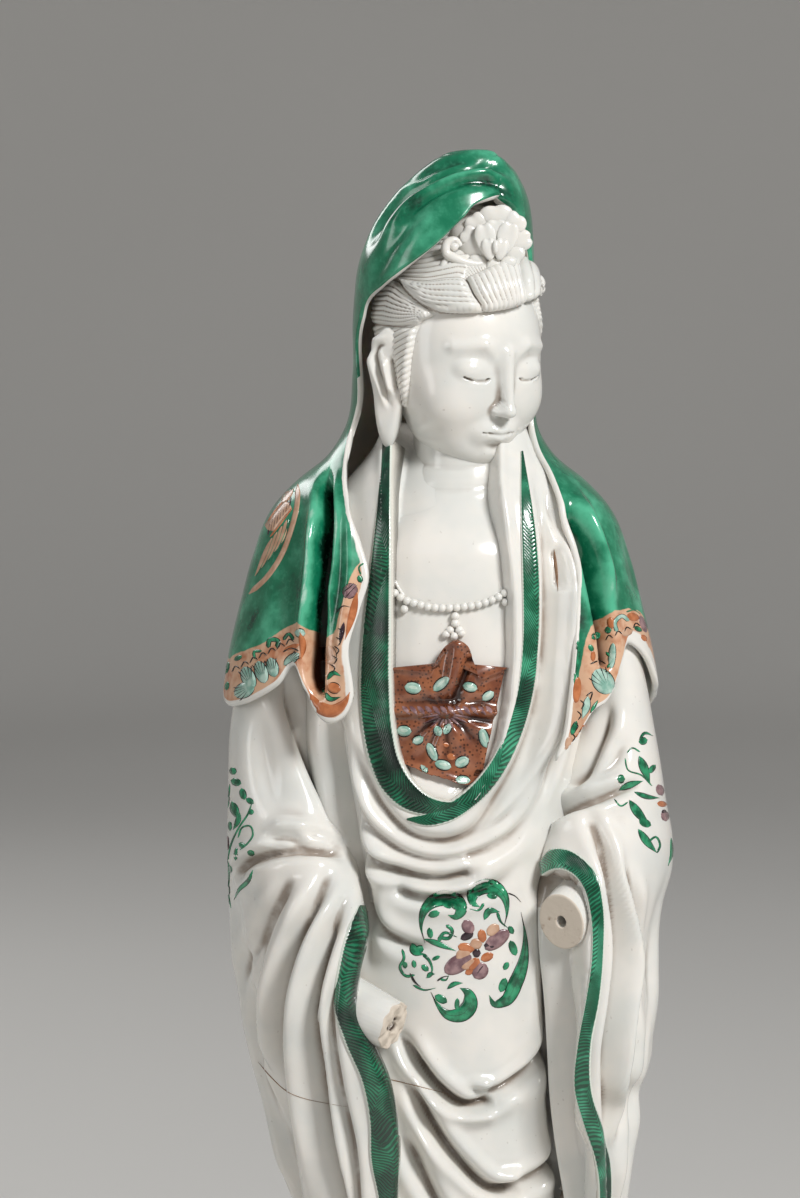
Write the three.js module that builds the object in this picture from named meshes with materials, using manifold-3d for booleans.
// A standing Guanyin in white porcelain, moulded, luted and fired in one piece with its low oval base.
// Millimetres, +Z up. The figure faces -Y and turns its head towards +X. The origin is the centre of the
// base's underside. The hands were made apart and are missing: each wrist ends in an empty peg socket.
import * as THREE from "three";
import { ParametricGeometry } from "three/addons/geometries/ParametricGeometry.js";
import { mergeVertices } from "three/addons/utils/BufferGeometryUtils.js";
import Module from "manifold-3d";

// Driving sizes.
const FIGURE_HEIGHT = 532; // robe hem to the crown of the hood
const BASE_LENGTH = 174;
const BASE_DEPTH = 140;
const BASE_HEIGHT = 28;
const BASE_WAIST = 4; // how far the base draws in at half height
const BASE_CHAMFER = 2.5;
const CAPE_WALL = 3.4; // thickness of the free cloth of the hood and cape
const SLEEVE_WALL = 3.6; // thickness of the cloth round each sleeve's mouth
const NECKLINE_STEP = 6.5; // how far the robe's neckline stands out from the chest
const WRIST_DIAMETER = 19;
const SOCKET_DIAMETER = 3.8;
const SOCKET_DEPTH = 10;
const BEAD_DIAMETER = 2.8;
const SEAT = 1.5; // how deep luted parts sink into what carries them

// The figure's pose and proportions are drawn in millimetres at this height and scale with FIGURE_HEIGHT.
const DRAWN_HEIGHT = 532;
const share = (drawn) => (drawn * FIGURE_HEIGHT) / DRAWN_HEIGHT;
const drawnFrom = (real) => (real * DRAWN_HEIGHT) / FIGURE_HEIGHT;

const HEAD_TURN = THREE.MathUtils.degToRad(27);
const HEAD_BOW = THREE.MathUtils.degToRad(18);
const HEAD_CENTRE = new THREE.Vector3(8, -2, 454);

const wasm = await Module();
wasm.setup();

// Solids from geometry, and geometry from solids.

function solidOf(geometry) {
  const bare = new THREE.BufferGeometry();
  bare.setAttribute("position", geometry.getAttribute("position"));
  bare.setIndex(geometry.getIndex());
  const merged = mergeVertices(bare, 1e-3);
  const mesh = new wasm.Mesh({
    numProp: 3,
    vertProperties: merged.getAttribute("position").array,
    triVerts: new Uint32Array(withoutSlivers(merged)),
  });
  const solid = new wasm.Manifold(mesh);
  if (solid.volume() > 0) return solid;
  throw new Error("a surface faces inwards");
}

// The index of a merged geometry without the triangles that collapsed at a pole or a seam.
function withoutSlivers(geometry) {
  const index = geometry.getIndex().array;
  const kept = [];
  for (let i = 0; i < index.length; i += 3) {
    const [a, b, c] = [index[i], index[i + 1], index[i + 2]];
    if (a !== b && b !== c && c !== a) kept.push(a, b, c);
  }
  return kept;
}

function geometryOf(solid) {
  const { numProp, vertProperties, triVerts } = solid.getMesh();
  const count = vertProperties.length / numProp;
  const positions = new Float32Array(count * 3);
  for (let i = 0; i < count; i++) {
    positions.set(vertProperties.subarray(i * numProp, i * numProp + 3), i * 3);
  }
  const geometry = new THREE.BufferGeometry();
  geometry.setAttribute("position", new THREE.BufferAttribute(positions, 3));
  geometry.setIndex(outerShell(triVerts, count));
  return geometry.toNonIndexed();
}

// The triangles of the largest connected surface, so that slivers of air shut in between joined forms are filled.
function outerShell(triangles, vertexCount) {
  const parent = Array.from({ length: vertexCount }, (_, i) => i);
  const rootOf = (vertex) => {
    let root = vertex;
    while (parent[root] !== root) root = parent[root];
    parent[vertex] = root;
    return root;
  };
  for (let i = 0; i < triangles.length; i += 3) {
    parent[rootOf(triangles[i])] = rootOf(triangles[i + 1]);
    parent[rootOf(triangles[i + 1])] = rootOf(triangles[i + 2]);
  }
  const shells = new Map();
  for (let i = 0; i < triangles.length; i += 3) {
    const root = rootOf(triangles[i]);
    if (!shells.has(root)) shells.set(root, []);
    shells.get(root).push(triangles[i], triangles[i + 1], triangles[i + 2]);
  }
  return [...shells.values()].sort((one, other) => other.length - one.length)[0];
}

// Profiles: a value that runs smoothly through a few stations, each [height, value, value, ...].

function profile(stations) {
  return (z) => {
    const last = stations.length - 1;
    let i = 0;
    while (i < last - 1 && z > stations[i + 1][0]) i++;
    const [from, to] = [stations[i], stations[i + 1]];
    const t = THREE.MathUtils.clamp((z - from[0]) / (to[0] - from[0]), 0, 1);
    return from.slice(1).map((value, k) => {
      const before = stations[Math.max(i - 1, 0)];
      const after = stations[Math.min(i + 2, last)];
      const rise = to[0] - from[0];
      const startSlope = ((to[k + 1] - before[k + 1]) / (to[0] - before[0])) * rise;
      const endSlope = ((after[k + 1] - value) / (after[0] - from[0])) * rise;
      return hermite(value, to[k + 1], startSlope, endSlope, t);
    });
  };
}

function hermite(from, to, startSlope, endSlope, t) {
  const [t2, t3] = [t * t, t * t * t];
  return (
    (2 * t3 - 3 * t2 + 1) * from +
    (t3 - 2 * t2 + t) * startSlope +
    (3 * t2 - 2 * t3) * to +
    (t3 - t2) * endSlope
  );
}

// A share from 0 to 1 whose even steps lie closer together round the given middle.
function crowded(t, middle, strength) {
  const turn = 2 * Math.PI;
  return t - (strength * (Math.sin(turn * (t - middle)) + Math.sin(turn * middle))) / turn;
}

const bump = (distance, width) => Math.exp(-((distance / width) ** 2));
const ramp = (value, from, to) => THREE.MathUtils.smoothstep(value, from, to);

// Folds: each is a line seen from the front, [x, z] points, pressed into or raised from the cloth.

function foldLine({ path, depth, width }) {
  const curve = new THREE.CatmullRomCurve3(path.map(([x, z]) => new THREE.Vector3(x, 0, z)));
  return { points: curve.getSpacedPoints(24), depth, width };
}

function pressFolds(lines, x, z) {
  let moved = 0;
  for (const { points, depth, width } of lines) {
    let nearest = Infinity;
    let along = 0;
    points.forEach((point, i) => {
      const distance = Math.hypot(point.x - x, point.z - z);
      if (distance < nearest) [nearest, along] = [distance, i / (points.length - 1)];
    });
    const fadedEnds = Math.sin(Math.PI * THREE.MathUtils.clamp(along, 0.08, 0.92)) ** 0.5;
    moved += depth * fadedEnds * bump(nearest, width);
  }
  return moved;
}

// Lofts: a closed body from rings stacked along z, each ring an oval with its own centre and radii.

function loft(ringAt, bottom, top, slices, stacks, shape = () => 0) {
  const surface = (u, v, target) => {
    const capped = THREE.MathUtils.clamp((v * stacks - 1) / (stacks - 2), 0, 1);
    const z = THREE.MathUtils.lerp(bottom, top, crowded(capped, 0.47, 0.35));
    const [cx, cy, rx, ry] = ringAt(z);
    const isPole = v === 0 || v === 1;
    const angle = u === 1 ? 0 : crowded(u, 0, 0.45) * 2 * Math.PI;
    const [s, c] = [Math.sin(angle), -Math.cos(angle)];
    const out = isPole ? 0 : 1;
    const swell = isPole ? 0 : shape(cx + rx * s, cy + ry * c, z, angle);
    target.set(share(cx + (rx + swell) * s * out), share(cy + (ry + swell) * c * out), share(z));
  };
  return solidOf(new ParametricGeometry(surface, slices, stacks));
}

// A sheet of cloth from a surface function, given a thickness on its inner side and closed round its edges.

function thickSheet(surface, slices, stacks, wall) {
  const bare = new ParametricGeometry(surface, slices, stacks);
  bare.deleteAttribute("normal");
  bare.deleteAttribute("uv");
  const merged = mergeVertices(bare, 1e-3);
  merged.setIndex(withoutSlivers(merged));
  merged.computeVertexNormals();
  const outer = merged.getAttribute("position");
  const normal = merged.getAttribute("normal");
  const count = outer.count;
  const positions = new Float32Array(count * 6);
  for (let i = 0; i < count; i++) {
    const at = [outer.getX(i), outer.getY(i), outer.getZ(i)];
    const away = [normal.getX(i), normal.getY(i), normal.getZ(i)];
    positions.set(at, i * 3);
    positions.set(at.map((value, k) => value - away[k] * wall), (count + i) * 3);
  }
  const index = merged.getIndex().array;
  const faces = [];
  const open = new Map();
  for (let i = 0; i < index.length; i += 3) {
    const corners = [index[i], index[i + 1], index[i + 2]];
    faces.push(...corners);
    faces.push(corners[2] + count, corners[1] + count, corners[0] + count);
    corners.forEach((from, k) => {
      const to = corners[(k + 1) % 3];
      if (!open.delete(`${to},${from}`)) open.set(`${from},${to}`, [from, to]);
    });
  }
  for (const [from, to] of open.values()) {
    faces.push(to, from, from + count, to, from + count, to + count);
  }
  const closed = new THREE.BufferGeometry();
  closed.setAttribute("position", new THREE.BufferAttribute(positions, 3));
  closed.setIndex(faces);
  return solidOf(closed);
}

// The low base: an oval block with a drawn-in side.

function base() {
  const waist = BASE_HEIGHT / 2;
  const outline = [
    [0, 0],
    [1 - BASE_CHAMFER / (BASE_LENGTH / 2), 0],
    [1, BASE_CHAMFER],
    [1 - BASE_WAIST / (BASE_LENGTH / 2), waist],
    [1, BASE_HEIGHT - BASE_CHAMFER],
    [1 - BASE_CHAMFER / (BASE_LENGTH / 2), BASE_HEIGHT],
    [0, BASE_HEIGHT],
  ];
  const lathe = new THREE.LatheGeometry(outline.map(([r, z]) => new THREE.Vector2(r, z)), 40);
  lathe.rotateX(Math.PI / 2);
  lathe.scale(BASE_LENGTH / 2, BASE_DEPTH / 2, 1);
  return solidOf(lathe);
}

// The robe: the long body of cloth from hem to neck, [height, centre x, centre y, radius x, radius y].

const ROBE = profile([
  [0, 1, 0, 63, 48],
  [14, 1, 0, 59, 44],
  [50, 2, 0, 53, 40],
  [150, 3, 0, 50, 39],
  [250, 3, 0, 50, 42],
  [300, 2, 0, 52, 44],
  [350, 2, 0, 56, 43],
  [385, 3, 0, 52, 40],
  [405, 4, 1, 44, 35],
  [418, 5, 2, 34, 28],
  [430, 6, 3, 25, 21],
]);

const ROBE_FOLDS = [
  { path: [[-38, 318], [-28, 296], [-14, 282], [4, 278], [22, 286], [34, 300]], depth: -3, width: 4 },
  { path: [[-36, 302], [-22, 286], [-4, 276], [16, 278], [36, 290]], depth: 1.5, width: 4 },
  { path: [[-33, 290], [-14, 267], [10, 266]], depth: -3.5, width: 4 },
  { path: [[-30, 254], [-14, 241], [0, 239]], depth: -2.5, width: 4 },
  { path: [[-20, 222], [-10, 200], [4, 185], [18, 181], [32, 194], [40, 206]], depth: -3.5, width: 6 },
  { path: [[-16, 190], [-4, 168], [8, 154], [24, 146], [38, 154]], depth: -3.5, width: 6 },
  { path: [[-12, 152], [4, 122], [20, 114], [38, 126]], depth: -3, width: 6 },
].map(foldLine);

function robe() {
  const folds = (x, y, z, angle) => {
    const hemPleats = 3 * Math.cos(11 * angle) * ramp(-z, -120, -20);
    const backPleats = 2 * Math.cos(9 * angle) * ramp(y, 5, 30) * ramp(-z, -330, -250);
    return hemPleats + backPleats + (y < 0 ? pressFolds(ROBE_FOLDS, x, z) : 0);
  };
  const top = 430;
  return loft(ROBE, 0, top, 32, 26, folds);
}

// The deep neckline, as seen from the front: a long U from the neck to the waist, cut into the robe.

const NECKLINE = { left: -18, right: 27, top: 440, waist: 320, bottom: 292 };

function necklineCutter() {
  const { left, right, top, waist, bottom } = NECKLINE;
  const outline = new THREE.Shape();
  outline.moveTo(share(left), share(top));
  outline.lineTo(share(left), share(waist));
  const [middle, dip] = [share((left + right) / 2), share(bottom - (waist - bottom) / 3)];
  outline.bezierCurveTo(share(left), dip, middle - share(4), dip, middle, share(bottom));
  outline.bezierCurveTo(middle + share(8), dip + share(8), share(right), dip + share(10), share(right), share(waist));
  outline.lineTo(share(right), share(top));
  const cut = new THREE.ExtrudeGeometry(outline, { depth: share(120), bevelEnabled: false, curveSegments: 8 });
  cut.rotateX(Math.PI / 2);
  return solidOf(cut);
}

// The chest and neck inside the neckline, and the knotted wrap round the ribs.

const NECK = [8, 0, 18.5, 18.5];

// A ring of the body: the robe's, set in by the neckline's step, drawn together to the neck above the collarbones.
function bodyRing(z) {
  const step = drawnFrom(NECKLINE_STEP);
  const robeRing = ROBE(Math.min(z, 405));
  const upwards = ramp(z, 384, 420);
  return robeRing.map((value, k) => THREE.MathUtils.lerp(k < 2 ? value : value - step, NECK[k], upwards));
}

function chest() {
  return loft(bodyRing, 262, 444, 20, 12);
}

function chestWrap() {
  const wrapTop = (x) => 341 + 12 * bump(x - 5, 6) - 3 * bump(x + 12, 5) + 2 * bump(x - 24, 4);
  const bulge = 2.4;
  const surface = (u, v, target) => {
    const x = THREE.MathUtils.lerp(-24, 32, u);
    const z = THREE.MathUtils.lerp(290, wrapTop(x), v);
    const [cx, cy, rx, ry] = bodyRing(z);
    const y = cy - ry * Math.sqrt(1 - ((x - cx) / rx) ** 2);
    const waist = 1.6 * bump(z - 327, 5);
    target.set(share(x), share(y - bulge + waist), share(z));
  };
  return thickSheet(surface, 12, 5, share(bulge) + SEAT);
}

// The hood and shoulder cape: one sheet from the crown to the hem, open at the front.

const CAPE = profile([
  [318, 0, 2, 84, 54],
  [345, 0, 2, 80, 51],
  [366, 0, 3, 75, 48],
  [381, 0, 3, 71, 45],
  [403, 0, 4, 61, 41],
  [411, 0, 5, 53, 38],
  [418, 0, 6, 42, 36],
  [426, 0, 7, 36.5, 36],
  [450, 2, 6, 34.5, 38],
  [470, 2, 5, 34.5, 39],
  [490, 2, 4, 33, 37],
  [507, 5, 3, 27, 31],
  [520, 9, 2, 19, 22],
  [528, 10, 1, 11, 13],
  [532, 10, 0, 0, 0],
]);

const APEX = 517; // height of the hood's peak over the brow
const LEFT_EDGE = profile([
  [312, -36], [333, -33], [351, -34], [366, -30], [376, -27.5], [388, -29.5], [403, -34],
  [414, -36], [425, -35], [436, -31.5], [470, -30.5], [480, -27], [498, -5], [508, 9], [APEX, 21.5],
]);
const RIGHT_EDGE = profile([
  [312, 45], [329, 48], [351, 50], [370, 50.3], [388, 48.5], [403, 44], [418, 38], [428, 34.5],
  [440, 35], [480, 34], [499, 33.5], [505, 31], [512, 27], [APEX, 21.5],
]);

// The angle from straight back to where the ring at a height meets the front edge at x.
function edgeAngle(x, [cx, , rx]) {
  return Math.PI / 2 + Math.acos(THREE.MathUtils.clamp(Math.abs(x - cx) / rx, 0, 1) * Math.sign(x - cx));
}

function capeAngles(z) {
  const ring = CAPE(z);
  const mirrored = [-ring[0], 0, ring[2]];
  const right = edgeAngle(RIGHT_EDGE(Math.min(z, APEX))[0], ring);
  const left = -edgeAngle(-LEFT_EDGE(Math.min(z, APEX))[0], mirrored);
  return z >= APEX ? [right - 2 * Math.PI, right] : [left, right];
}

// The hem's height all round: long at the back, lifted over each arm, dipping in a deep pleat at each front corner.
const FRONT_HEM = profile([
  [-84, 329], [-67, 333], [-56, 343], [-51, 345], [-43, 324], [-36, 328], [-31, 336], [0, 322],
  [42, 308], [47, 311], [56, 328], [62, 333], [68, 350], [75, 349], [84, 334],
]);

function capeHem(x, y) {
  const back = 332 - 20 * ramp(y, 0, 45);
  return THREE.MathUtils.lerp(FRONT_HEM(x)[0], back, ramp(y, -12, 6));
}

// The point [x, y, angle] at a height of the undraped cape, at a share of the way from left to right edge.
function capePoint(z, across) {
  const [left, right] = capeAngles(z);
  const angle = THREE.MathUtils.lerp(left, right, across);
  const [cx, cy, rx, ry] = CAPE(z);
  return [cx + rx * Math.sin(angle), cy + ry * Math.cos(angle), angle];
}

function hoodAndCape() {
  const [crown, rows, columns] = [532, 15, 26];
  const surface = (u, v, target) => {
    const across = crowded(u, 0, 0.5);
    const hem = capeHem(...capePoint(335, across));
    const z = THREE.MathUtils.lerp(crown, hem, v ** 1.35);
    const [x, y, angle] = capePoint(z, across);
    const lower = ramp(-z, -415, -350);
    const front = ramp(-y, 0, 8);
    const pleats = -9 * bump(x + 43, 5) * front - 8 * bump(x - 54, 5) * front;
    const backFolds = 2.5 * Math.cos(angle * 7) * ramp(y, 0, 25);
    const swell = v === 0 ? 0 : lower * (pleats + backFolds);
    target.set(
      share(x + swell * Math.sin(angle)),
      share(y + swell * Math.cos(angle)),
      share(z),
    );
  };
  return thickSheet(surface, columns, rows, CAPE_WALL);
}

// The head in its own frame, face to -Y: skull and cheeks, then nose, brows, lids, lips and chin.

function headShape() {
  const surface = (u, v, target) => {
    const longitude = (u === 1 ? 0 : u) * 2 * Math.PI;
    const latitude = (v - 0.5) * Math.PI;
    const ring = v === 0 || v === 1 ? 0 : Math.cos(latitude) ** 0.85;
    const z = (v < 0.5 ? 43 : 40) * Math.sin(latitude);
    const jaw = 1 - 0.32 * ramp(-z, 8, 43);
    const x = 27 * jaw * ring * Math.sin(longitude);
    let y = -31 * ring * Math.cos(longitude);
    if (y < 0 && v > 0 && v < 1) {
      const nose = 7.5 * bump(x, 3.6) * ramp(z, -8, -4) * ramp(-z, -14, -2);
      const sockets = -2.4 * bump(Math.abs(x) - 10, 6) * bump(z - 5, 6);
      const lids = 2.2 * bump(Math.abs(x) - 10, 4.5) * bump(z - 4, 4);
      const lips = 2.2 * bump(x, 5.5) * bump(z + 15, 3);
      const chin = 2.5 * bump(x, 7) * bump(z + 30, 6);
      y -= nose + sockets + lids + lips + chin;
    }
    target.set(x, y, z);
  };
  return new ParametricGeometry(surface, 20, 18);
}

function ear(side) {
  const lobe = new THREE.SphereGeometry(1, 7, 7);
  lobe.scale(3.2, 6, 20);
  lobe.rotateY(side * 0.12);
  lobe.translate(side * 27, 8, -9);
  return lobe;
}

// Hair: a cap over the skull, two swept rolls over the brow, a topknot, and the flower worn before it.

function hairCap() {
  const cap = new THREE.SphereGeometry(1, 18, 11);
  cap.rotateX(Math.PI / 2);
  cap.scale(30.5, 33, 35);
  cap.translate(0, 6, 13);
  return cap;
}

function browRoll(side) {
  const path = new THREE.CatmullRomCurve3([
    new THREE.Vector3(side * 26, 3, 20),
    new THREE.Vector3(side * 21.5, -12, 28),
    new THREE.Vector3(side * 11, -19.5, 33.5),
    new THREE.Vector3(side * -2, -21, 35),
  ]);
  const section = new THREE.Shape().absarc(0, 0, 5.5, 0, 2 * Math.PI, false);
  return new THREE.ExtrudeGeometry(section, { steps: 7, curveSegments: 5, extrudePath: path });
}

function topknot() {
  const knot = new THREE.SphereGeometry(1, 12, 9);
  knot.scale(16, 14, 16);
  knot.translate(0, -4, 50);
  return knot;
}

const FLOWER_CENTRE = [0, -19, 51];

function flowerPetals() {
  const petals = [];
  const rows = [
    { count: 6, reach: 10, drop: 3, size: [5.5, 3.6, 6.5] },
    { count: 3, reach: 5, drop: -1, size: [4.5, 3.8, 5] },
  ];
  for (const { count, reach, drop, size } of rows) {
    for (let i = 0; i < count; i++) {
      const angle = (i / count) * 2 * Math.PI;
      const petal = new THREE.SphereGeometry(1, 6, 4);
      petal.scale(...size);
      petal.rotateY(angle);
      const [x, y, z] = FLOWER_CENTRE;
      petal.translate(x + reach * Math.sin(angle), y + drop, z + reach * Math.cos(angle) * 0.85);
      petals.push(petal);
    }
  }
  const heart = new THREE.SphereGeometry(5, 8, 5);
  heart.translate(FLOWER_CENTRE[0], FLOWER_CENTRE[1] - 3, FLOWER_CENTRE[2]);
  return [...petals, heart];
}

function head() {
  const parts = [headShape(), ear(-1), ear(1), hairCap(), browRoll(-1), browRoll(1), topknot(), ...flowerPetals()];
  return parts.map((part) => {
    part.rotateX(HEAD_BOW);
    part.rotateZ(HEAD_TURN);
    part.translate(...HEAD_CENTRE.toArray());
    part.scale(share(1), share(1), share(1));
    return solidOf(part);
  });
}

// The arms: each sleeve runs from under the cape down past the elbow and hangs in a wide bag below the wrist.
// Each station is [height, centre x, centre y, half length, half width, turn of the long side in degrees].

const SLEEVES = {
  left: {
    stations: profile([
      [62, -36, -16, 10, 6, 40],
      [80, -37, -17, 22, 9, 40],
      [145, -36, -22, 31, 13, 34],
      [181, -42, -22, 36, 16, 32],
      [218, -50, -20, 40, 18, 32],
      [245, -52, -17, 40, 19, 35],
      [262, -55, -12, 35, 20, 38],
      [280, -58, -5, 27, 20, 40],
      [300, -60, 2, 22, 18, 40],
      [350, -58, 4, 19, 17, 30],
      [388, -50, 4, 15, 14, 0],
      [398, -46, 4, 9, 9, 0],
    ]),
    elbow: [-66, 8, 276],
    wrist: [-17, -61, 217],
    mouth: [14, -8],
    pleatPhase: 0.4,
  },
  right: {
    stations: profile([
      [62, 49, -14, 10, 6, -24],
      [80, 50, -15, 22, 9, -24],
      [145, 54, -20, 30, 13, -20],
      [181, 57, -20, 35, 15.5, -18],
      [218, 60, -18, 39, 18, -16],
      [260, 61.5, -14, 40, 20, -20],
      [278, 62, -9, 34, 20, -24],
      [295, 63, -3, 26, 19.5, -30],
      [315, 62, 2, 20, 17, -30],
      [350, 59, 4, 18, 17, -20],
      [388, 51, 4, 15, 14, 0],
      [398, 47, 4, 9, 9, 0],
    ]),
    elbow: [70, 6, 292],
    wrist: [44, -63, 254],
    mouth: [-12, -10],
    pleatPhase: 1.9,
  },
};

function sleeveRing({ stations, pleatPhase }, z, angle, inset, shift) {
  const [cx, cy, half, width, turn] = stations(z);
  const tilt = THREE.MathUtils.degToRad(turn);
  const pleats = 1.6 * Math.cos(angle * 9 + pleatPhase) * ramp(-z, -290, -200);
  const along = (half - inset + pleats) * -Math.cos(angle);
  const aside = (width - inset + pleats) * Math.sin(angle);
  return [
    cx + shift[0] + aside * Math.cos(tilt) - along * Math.sin(tilt),
    cy + shift[1] + aside * Math.sin(tilt) + along * Math.cos(tilt),
  ];
}

function sleeveLoft(sleeve, bottom, top, inset, shift, slices, stacks) {
  const surface = (u, v, target) => {
    const capped = THREE.MathUtils.clamp((v * stacks - 1) / (stacks - 2), 0, 1);
    const z = THREE.MathUtils.lerp(bottom, top, capped);
    const angle = u === 1 ? 0 : u * 2 * Math.PI;
    const [cx, cy] = sleeve.stations(z);
    const isPole = v === 0 || v === 1;
    const [x, y] = isPole ? [cx + shift[0], cy + shift[1]] : sleeveRing(sleeve, z, angle, inset, shift);
    target.set(share(x), share(y), share(z));
  };
  return solidOf(new ParametricGeometry(surface, slices, stacks));
}

// A round bar between two points, such as a forearm or the socket bored into it.
function bar(from, to, diameter, segments) {
  const [start, end] = [new THREE.Vector3(...from), new THREE.Vector3(...to)];
  const axis = end.clone().sub(start);
  const rod = new THREE.CylinderGeometry(diameter / 2, diameter / 2, axis.length(), segments);
  rod.rotateX(Math.PI / 2);
  rod.lookAt(axis);
  const middle = start.add(end).multiplyScalar(0.5);
  rod.translate(...middle.toArray());
  return solidOf(rod);
}

function arm(sleeve) {
  const wall = drawnFrom(SLEEVE_WALL);
  const wristTop = sleeve.wrist[2] + drawnFrom(WRIST_DIAMETER) * 0.75;
  const cloth = sleeveLoft(sleeve, 62, 398, 0, [0, 0], 20, 18);
  const hollow = sleeveLoft(sleeve, 82, wristTop, wall, sleeve.mouth, 14, 7);
  const forearm = bar(sleeve.elbow.map(share), sleeve.wrist.map(share), WRIST_DIAMETER, 16);
  return cloth.subtract(hollow).add(forearm);
}

function wristSocket(sleeve) {
  const wrist = new THREE.Vector3(...sleeve.wrist.map(share));
  const elbow = new THREE.Vector3(...sleeve.elbow.map(share));
  const inwards = elbow.sub(wrist).normalize();
  const bottom = wrist.clone().addScaledVector(inwards, SOCKET_DEPTH);
  const mouth = wrist.clone().addScaledVector(inwards, -SEAT);
  return bar(bottom.toArray(), mouth.toArray(), SOCKET_DIAMETER, 10);
}

// The necklace: a string of beads lying on the chest, drawn as one cord, and the pendant below it.

function onChest(x, z, lift) {
  const [cx, cy, rx, ry] = bodyRing(z);
  const y = cy - ry * Math.sqrt(Math.max(0, 1 - ((x - cx) / rx) ** 2));
  return new THREE.Vector3(share(x), share(y) - lift, share(z));
}

function necklace() {
  const [middle, reach, lowest, rise] = [5, 22, 363, 12];
  const points = Array.from({ length: 9 }, (_, i) => {
    const across = (i / 4 - 1) * reach;
    return onChest(middle + across, lowest + rise * (across / reach) ** 2, BEAD_DIAMETER * 0.25);
  });
  const section = new THREE.Shape().absarc(0, 0, BEAD_DIAMETER / 2, 0, 2 * Math.PI, false);
  const string = new THREE.ExtrudeGeometry(section, {
    steps: 10,
    curveSegments: 2,
    extrudePath: new THREE.CatmullRomCurve3(points),
  });
  const pendant = Array.from({ length: 3 }, (_, i) => {
    const bead = new THREE.SphereGeometry(BEAD_DIAMETER * 0.62, 6, 4);
    const at = onChest(middle, lowest - share(1.5) - i * BEAD_DIAMETER * 0.9, BEAD_DIAMETER * 0.25);
    bead.translate(...at.toArray());
    return solidOf(bead);
  });
  return [solidOf(string), ...pendant];
}

// The toes that show under the hem.

function foot(side) {
  const toes = new THREE.SphereGeometry(1, 10, 6);
  toes.scale(share(11), share(17), share(8));
  toes.translate(share(side * 15), share(-36), share(3));
  const ground = new THREE.BoxGeometry(share(60), share(60), share(20));
  ground.translate(share(side * 15), share(-36), share(-10));
  return solidOf(toes).subtract(solidOf(ground));
}

function figure() {
  const openRobe = robe().subtract(necklineCutter());
  const cloth = [openRobe, chest(), chestWrap(), hoodAndCape(), arm(SLEEVES.left), arm(SLEEVES.right)];
  const rest = [...head(), ...necklace(), foot(-1), foot(1)];
  const joined = [...cloth, ...rest].reduce((all, part) => all.add(part));
  return joined.subtract(wristSocket(SLEEVES.left)).subtract(wristSocket(SLEEVES.right));
}

function wholeFigure() {
  const standing = figure().translate([0, 0, BASE_HEIGHT - SEAT]);
  return base().add(standing);
}

const porcelain = new THREE.MeshStandardMaterial({ color: 0xe9e6df, roughness: 0.18, metalness: 0 });
const guanyin = new THREE.Mesh(geometryOf(wholeFigure()), porcelain);
guanyin.name = "guanyin_figure";

const group = new THREE.Group();
group.add(guanyin);

export default group;
